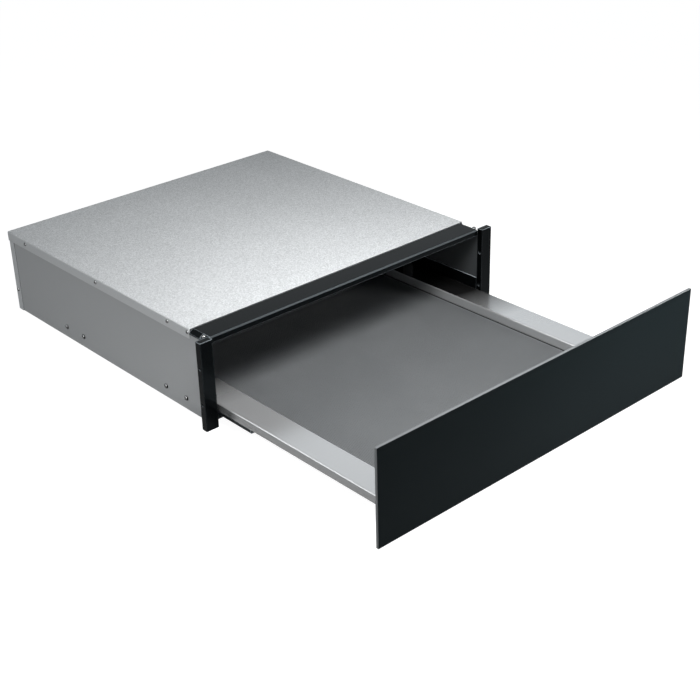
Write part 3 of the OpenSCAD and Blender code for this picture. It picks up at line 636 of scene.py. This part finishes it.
def screw_rings(head_r, head_h, shaft_r, shaft_len):
    """Pan-head screw with a cross recess, and threads cut in its shaft."""
    arm, half = head_r * 0.52, head_r * 0.13
    angles = cross_angles(arm, half)
    rings = [round_ring(angles, shaft_r * 0.55, -shaft_len)]
    pitch = max(0.8 * MM, shaft_r * 0.5)
    turns = int((shaft_len - 0.6 * MM) / pitch)
    for k in range(turns):
        z = -shaft_len + 0.3 * MM + k * pitch
        rings.append(round_ring(angles, shaft_r * 0.82, z))
        rings.append(round_ring(angles, shaft_r, z + pitch / 2))
    rings.append(round_ring(angles, shaft_r * 0.82, 0))
    rings.append(round_ring(angles, head_r * 0.97, 0))
    for share_r, share_z in ((1.0, 0.12), (0.985, 0.35), (0.92, 0.62), (0.80, 0.82), (0.66, 0.94)):
        rings.append(round_ring(angles, head_r * share_r, head_h * share_z))
    rings.append(cross_ring(angles, arm, half, head_h))
    rings.append(cross_ring(angles, arm * 0.8, half * 0.8, head_h * 0.45))
    return rings


# Outlines of the rivet's set tail and of its domed head with the mandrel's dimple, as shares of
# the head's radius and of the tail's and the head's height
RIVET_TAIL = ((0.6, 1.0), (0.95, 0.8), (1.0, 0.3), (0.9, 0.0))
RIVET_HEAD = ((0.98, 0), (1.0, 0.1), (0.97, 0.28), (0.86, 0.55), (0.68, 0.79), (0.47, 0.94),
              (0.3, 1.0), (0.25, 0.93), (0.22, 0.62))


def rivet_rings(head_r, head_h, shaft_r, grip, tail_h):
    """Blind rivet: tail, shaft and head."""
    rings = [circle(head_r * r, -grip - tail_h * z) for r, z in RIVET_TAIL]
    rings += [circle(shaft_r, -grip), circle(shaft_r, 0)]
    return rings + [circle(head_r * r, head_h * z) for r, z in RIVET_HEAD]


def stand(point, to):
    """Turn and place of a piece drawn along Z, so that it points along to."""
    return Matrix.Translation(Vector(point)) @ Vector(to).to_track_quat("Z", "Y").to_matrix().to_4x4()


def spun(matrix, index):
    """The same place with the recess turned, differently for each screw."""
    return matrix @ Matrix.Rotation(math.radians(37.0 * index + 12), 4, "Z")


# Places of the fixings, the same as the frame's
FRONT_Y = -22 * MM
HOUSING_D = 527 * MM
BACK_Y = FRONT_Y + HOUSING_D
SIDE_X = 263 * MM
COVER_X = 264 * MM
SCREW_Z = 128 * MM
COVER_SCREW_YS = [28 * MM] + [FRONT_Y + share * HOUSING_D for share in (0.183, 0.522, 0.899)]
BACK_SCREW_SHARES = (-0.76, 0, 0.76)
SHEET = 1 * MM
RUNNER_Y = -10 * MM
RUNNER_LEN = 486 * MM
RIVET_SHARES = (0.115, 0.214, 0.656, 0.753)
RIVET_Z = 19 * MM
COLLAR_TOP = 3.4 * MM
COLLAR = ((1.6, -5), (1.6, 0), (2.1, 0), (2.3, 0.3), (2.3, 3.2), (2.0, 3.4))


def sheet_screw(shaft_r=1.5 * MM):
    """The small screw that holds the sheets."""
    return screw_rings(2.7 * MM, 1.5 * MM, shaft_r, 5 * MM)


def make_cover_screws():
    shape = Shape()
    for side in (-1, 1):
        for i, y in enumerate(COVER_SCREW_YS):
            at = stand((side * COVER_X, y, SCREW_Z), (side, 0, 0))
            shape.take(sheet_screw(), spun(at, i + side))
    for i, share in enumerate(BACK_SCREW_SHARES):
        at = stand((share * SIDE_X, BACK_Y, SCREW_Z), (0, 1, 0))
        shape.take(sheet_screw(), spun(at, i))
    shape.piece("cover_pan_screws", [BRIGHT_PLATE], "housing", ["cover_screws"], "bright_fixing", 35)


def make_rear_screws():
    shape = Shape()
    for side in (-1, 1):
        at = stand((side * COVER_X, BACK_Y - SHEET - 7 * MM, 36 * MM), (side, 0, 0))
        shape.take(sheet_screw(), spun(at, 2 * side))
        at = stand((side * 0.4 * SIDE_X, BACK_Y - SHEET, 8 * MM), (0, 1, 0))
        shape.take(sheet_screw(), spun(at, 3 * side))
    shape.piece("rear_pan_screws", [BRIGHT_PLATE], "housing", ["rear_screws"], "bright_fixing", 35)


def make_frame_screws():
    """Screws behind the posts, on collars, and those that hold the posts' flanges."""
    shape = Shape()
    for side in (-1, 1):
        at = spun(stand((side * 260.1 * MM, -4 * MM, 127.8 * MM), (0, 0, 1)), side)
        shape.take([circle(r * MM, z * MM) for r, z in COLLAR], at)
        head = screw_rings(3.1 * MM, 2.6 * MM, 1.6 * MM, 3.4 * MM)
        shape.take(head, at @ Matrix.Translation((0, 0, COLLAR_TOP)))
        for z in (22 * MM, 112 * MM):
            at = spun(stand((side * 269.75 * MM, -11 * MM, z), (0, 1, 0)), 5 * side)
            shape.take(sheet_screw(1.6 * MM), at)
    shape.piece("frame_pan_screws", [BRIGHT_PLATE], "housing", ["frame_screws"], "bright_fixing", 35)


def make_latch_screws():
    shape = Shape()
    for side in (-1, 1):
        at = spun(stand((side * 19.5 * MM, 475 * MM, 5 * MM), (0, 0, 1)), side)
        shape.take(screw_rings(3.4 * MM, 2 * MM, 1.9 * MM, 4 * MM), at)
    shape.piece("latch_pan_screws", [BRIGHT_PLATE], "housing", ["latch_screws"], "bright_fixing", 35)


def make_front_screws():
    low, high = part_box("front_screws")
    shape = Shape()
    seat_z = low.z + 1.6 * MM
    for side in (-1, 1):
        for y in (low.y + 2.8 * MM, high.y - 2.8 * MM):
            at = spun(stand((side * 207.5 * MM, y, seat_z), (0, 0, -1)), side)
            shape.take(screw_rings(2.8 * MM, 1.6 * MM, 1.8 * MM, 3.2 * MM), at)
    shape.piece("front_pan_screws", [BRIGHT_PLATE], "drawer", ["front_screws"], "bright_fixing", 35)


def make_rivets(side, word):
    shape = Shape()
    for share in RIVET_SHARES:
        at = stand((side * SIDE_X, RUNNER_Y + share * RUNNER_LEN, RIVET_Z), (side, 0, 0))
        shape.take(rivet_rings(3.9 * MM, 2.2 * MM, 2.4 * MM, 2.5 * MM, 1.2 * MM), at)
    shape.piece("blind_rivets_" + word, [RIVET_PLATE], "housing", ["runner_rivets_" + word],
                "bright_fixing", 40)


make_cover_screws()
make_rear_screws()
make_frame_screws()
make_latch_screws()
make_front_screws()
make_rivets(-1, "left")
make_rivets(1, "right")


# Spring of the push latch, a coil along Y

COIL_TURNS = 7
COIL_STEPS = 24
WIRE_STEPS = 10
WIRE_R = 0.3 * MM


def make_coil():
    low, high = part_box("latch_spring")
    centre = (low + high) / 2
    mean_r = (high.x - low.x) / 2 - WIRE_R
    first, last = low.y + WIRE_R, high.y - WIRE_R
    count = COIL_TURNS * COIL_STEPS
    rings = []
    for i in range(count + 1):
        turn = 2 * math.pi * i / COIL_STEPS
        y = first + (last - first) * i / count
        ring = []
        for k in range(WIRE_STEPS):
            a = 2 * math.pi * k / WIRE_STEPS
            r = mean_r + WIRE_R * math.cos(a)
            ring.append((centre.x + r * math.cos(turn), y + WIRE_R * math.sin(a),
                         centre.z + r * math.sin(turn)))
        rings.append(ring)
    points, faces = stack(rings)
    coil = new_piece("latch_coil", points, faces, [BRIGHT_PLATE], None, ["latch_spring"],
                     smooth=60)
    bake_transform(coil)


make_coil()


# Ribbed mat

RIB_PITCH = 2.4 * MM
RIB_H = 0.5 * MM
RIB_SLOPE = 0.35 * MM
MAT_MARGIN = 2.5 * MM
MAT_REACH = 1.4 * MM
MAT_EDGE = 0.3 * MM
RIB_RAMP = 1 * MM


def make_mat():
    """Each point of a row across the mat is at its edge (0), between ribs (1) or on a rib (2), and
    each run along it gives these three a height."""
    low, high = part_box("drawer_mat")
    high.y += MAT_REACH
    floor_z, top_z = low.z, high.z
    web_z = top_z - RIB_H
    width = high.x - low.x - 2 * MAT_MARGIN
    count = int(width / RIB_PITCH)
    pitch = width / count
    row = [(low.x, 0), (low.x + MAT_EDGE, 1)]
    for k in range(count):
        x = low.x + MAT_MARGIN + k * pitch
        row += [(x + 0.25 * pitch, 1), (x + 0.25 * pitch + RIB_SLOPE, 2),
                (x + 0.75 * pitch - RIB_SLOPE, 2), (x + 0.75 * pitch, 1)]
    row += [(high.x - MAT_EDGE, 1), (high.x, 0)]
    edge_z = web_z - MAT_EDGE
    ribbed, flat = (edge_z, web_z, top_z), (edge_z, web_z, web_z)
    edge, base = (edge_z,) * 3, (floor_z,) * 3
    runs = [(low.y, base), (low.y, edge), (low.y + MAT_EDGE, flat), (low.y + MAT_MARGIN, flat),
            (low.y + MAT_MARGIN + RIB_RAMP, ribbed), (high.y - MAT_MARGIN - RIB_RAMP, ribbed),
            (high.y - MAT_MARGIN, flat), (high.y - MAT_EDGE, flat), (high.y, edge), (high.y, base)]
    points, faces = [], []
    for y, heights in runs:
        points += [(x, y, heights[level]) for x, level in row]
    n = len(row)
    for r in range(len(runs) - 1):
        for i in range(n - 1):
            a = r * n + i
            faces.append((a, a + 1, a + n + 1, a + n))
    last = (len(runs) - 1) * n
    faces.append((0, last, last + n - 1, n - 1))
    faces.append(tuple(r * n for r in range(len(runs))))
    faces.append(tuple(r * n + n - 1 for r in reversed(range(len(runs)))))
    new_piece("ribbed_mat", points, faces, [MAT_RUBBER], "drawer", ["drawer_mat"], smooth=25)


make_mat()


# Moulded stops on the tray's rims

STOP_SLOPE = 3 * MM
STOP_ROUND = 0.8 * MM
STOP_EDGE = 0.5 * MM
PEG_R = 1.2 * MM
PEG_LEN = 3 * MM
PEG_END = 5 * MM
PEG_TIP = 0.4 * MM
PEG_STEPS = 20


def rounded_outline(corners, r, steps=4):
    """Convex outline, as pairs, with each corner rounded to the radius r."""
    outline = []
    for k, corner in enumerate(corners):
        here = Vector(corner)
        back = (Vector(corners[k - 1]) - here).normalized()
        on = (Vector(corners[(k + 1) % len(corners)]) - here).normalized()
        half = back.angle(on) / 2
        middle = here + (back + on).normalized() * (r / math.sin(half))
        first = here + back * (r / math.tan(half)) - middle
        last = here + on * (r / math.tan(half)) - middle
        for i in range(steps + 1):
            share = i / steps
            outline.append(middle + (first * (1 - share) + last * share).normalized() * r)
    return outline


def make_stop(word):
    low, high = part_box("drawer_stop_" + word)
    seat = low.z + PEG_LEN
    rings = []
    for x, inset in ((low.x, STOP_EDGE), (low.x + STOP_EDGE, 0), (high.x - STOP_EDGE, 0),
                     (high.x, STOP_EDGE)):
        front, back, top = low.y + inset, high.y - inset, high.z - inset
        corners = [(front, seat), (back, seat), (back, top), (front + STOP_SLOPE, top),
                   (front, top - STOP_SLOPE)]
        rings.append([(x, y, z) for y, z in rounded_outline(corners, STOP_ROUND)])
    shape = Shape()
    shape.take(rings)
    peg = [circle(r, z, PEG_STEPS)
           for r, z in ((PEG_R * 0.7, low.z), (PEG_R, low.z + PEG_TIP), (PEG_R, seat + MM))]
    for y in (low.y + PEG_END, high.y - PEG_END):
        shape.take(peg, Matrix.Translation(((low.x + high.x) / 2, y, 0)))
    shape.piece("moulded_stop_" + word, [BLACK_MOULD], "drawer", ["drawer_stop_" + word],
                "black_plastic", 40)


make_stop("left")
make_stop("right")


# Glass front with ground edges

GLASS_CORNER = 1.2 * MM
GLASS_ARRIS = 0.45 * MM


def rounded_rectangle(low_x, low_z, high_x, high_z, r, steps=6):
    """Outline in X and Z, as pairs."""
    corners = ((high_x - r, high_z - r, 0), (low_x + r, high_z - r, 90), (low_x + r, low_z + r, 180),
               (high_x - r, low_z + r, 270))
    outline = []
    for x, z, start in corners:
        for k in range(steps + 1):
            a = math.radians(start + 90 * k / steps)
            outline.append((x + r * math.cos(a), z + r * math.sin(a)))
    return outline


def make_glass():
    low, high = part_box("front_glass")
    rings = []
    for y, inset in ((low.y, GLASS_ARRIS), (low.y + GLASS_ARRIS, 0), (high.y - GLASS_ARRIS, 0),
                     (high.y, GLASS_ARRIS)):
        outline = rounded_rectangle(low.x + inset, low.z + inset, high.x - inset, high.z - inset,
                                    GLASS_CORNER)
        rings.append([(x, y, z) for x, z in outline])
    points, faces = stack(rings)
    faces = [tuple(reversed(face)) for face in faces]
    finish = [1] * (len(faces) - 2) + [0, 0]
    new_piece("glass_front", points, faces, [SATIN_GLASS, GROUND_EDGE], "drawer", ["front_glass"],
              finish, 30)


make_glass()


# Studio: pale floor, world and lamps

FLOOR_Z = -0.3 * MM
FLOOR_REACH = 30.0
MIRRORED_SHARE = 0.14
FLOOR_GLOW = 0.96


def make_floor():
    mesh = bpy.data.meshes.new("studio_floor")
    corners = [(x * FLOOR_REACH, y * FLOOR_REACH, FLOOR_Z)
               for x, y in ((-1, -1), (1, -1), (1, 1), (-1, 1))]
    mesh.from_pydata(corners, [], [(0, 1, 2, 3)])
    material, tree, shader = new_finish("pale_floor", Roughness=1.0, Specular_IOR_Level=0.0)
    shader.inputs["Base Color"].default_value = grey(0.3)
    rays = add(tree, "LightPath").outputs
    seen = calc(tree, "MAXIMUM", rays["Is Camera Ray"], rays["Is Transmission Ray"])
    seen = calc(tree, "MAXIMUM", seen, times(tree, rays["Is Glossy Ray"], MIRRORED_SHARE))
    shader.inputs["Emission Color"].default_value = (1, 1, 1, 1)
    tree.links.new(times(tree, seen, FLOOR_GLOW), shader.inputs["Emission Strength"])
    mesh.materials.append(material)
    floor = bpy.data.objects.new("studio_floor", mesh)
    bpy.context.scene.collection.objects.link(floor)


def make_world():
    world = bpy.data.worlds.new("studio_world")
    bpy.context.scene.world = world
    world.use_nodes = True
    tree = world.node_tree
    up = axes(tree, add(tree, "TexCoord").outputs["Generated"])["Z"]
    colour = mix_colour(tree, remap(tree, up, 0.1, 0.6), grey(0.27, 1.12), grey(0.10, 1.12))
    backdrop = mix_colour(tree, remap(tree, up, 0.35, 0.8), grey(0.62, 1.1), grey(0.25, 1.1))
    rays = add(tree, "LightPath").outputs
    colour = mix_colour(tree, rays["Is Glossy Ray"], colour, backdrop)
    seen = calc(tree, "MAXIMUM", rays["Is Camera Ray"], rays["Is Transmission Ray"])
    colour = mix_colour(tree, seen, colour, grey(1.0))
    background = tree.nodes["Background"]
    tree.links.new(colour, background.inputs["Color"])
    background.inputs["Strength"].default_value = 1.0


def make_lamp(name, at, target, width, depth, power, spread=180, mirrored=True):
    """Area lamp at a place, aimed at a target. mirrored is whether shiny surfaces show it."""
    data = bpy.data.lights.new(name, "AREA")
    data.shape = "RECTANGLE"
    data.size, data.size_y = width, depth
    data.energy = power
    data.spread = math.radians(spread)
    lamp = bpy.data.objects.new(name, data)
    aim = (Vector(target) - Vector(at)).to_track_quat("-Z", "Y").to_matrix().to_4x4()
    lamp.matrix_world = Matrix.Translation(Vector(at)) @ aim
    lamp.visible_glossy = mirrored
    bpy.context.scene.collection.objects.link(lamp)


make_floor()
make_world()
make_lamp("key_softbox", (-0.22, -0.42, 0.9), (-0.05, -0.14, 0.1), 0.4, 0.4, 3.8, 96)
make_lamp("left_softbox", (-2.26, -0.1, 0.4), (-0.26, 0.05, 0.07), 1.6, 0.8, 8.6)
make_lamp("mouth_fill", (1.18, -1.42, 0.52), (0.0, 0.06, 0.03), 0.5, 0.3, 1.05, 24, False)
make_lamp("edge_light_right", (1.47, -1.5, 1.8), (0.0, -0.2, 0.1), 0.3, 0.3, 0.55, 60)
make_lamp("edge_light_left", (-1.35, 1.05, 1.15), (-0.1, -0.2, 0.03), 0.8, 0.3, 0.45, 70)
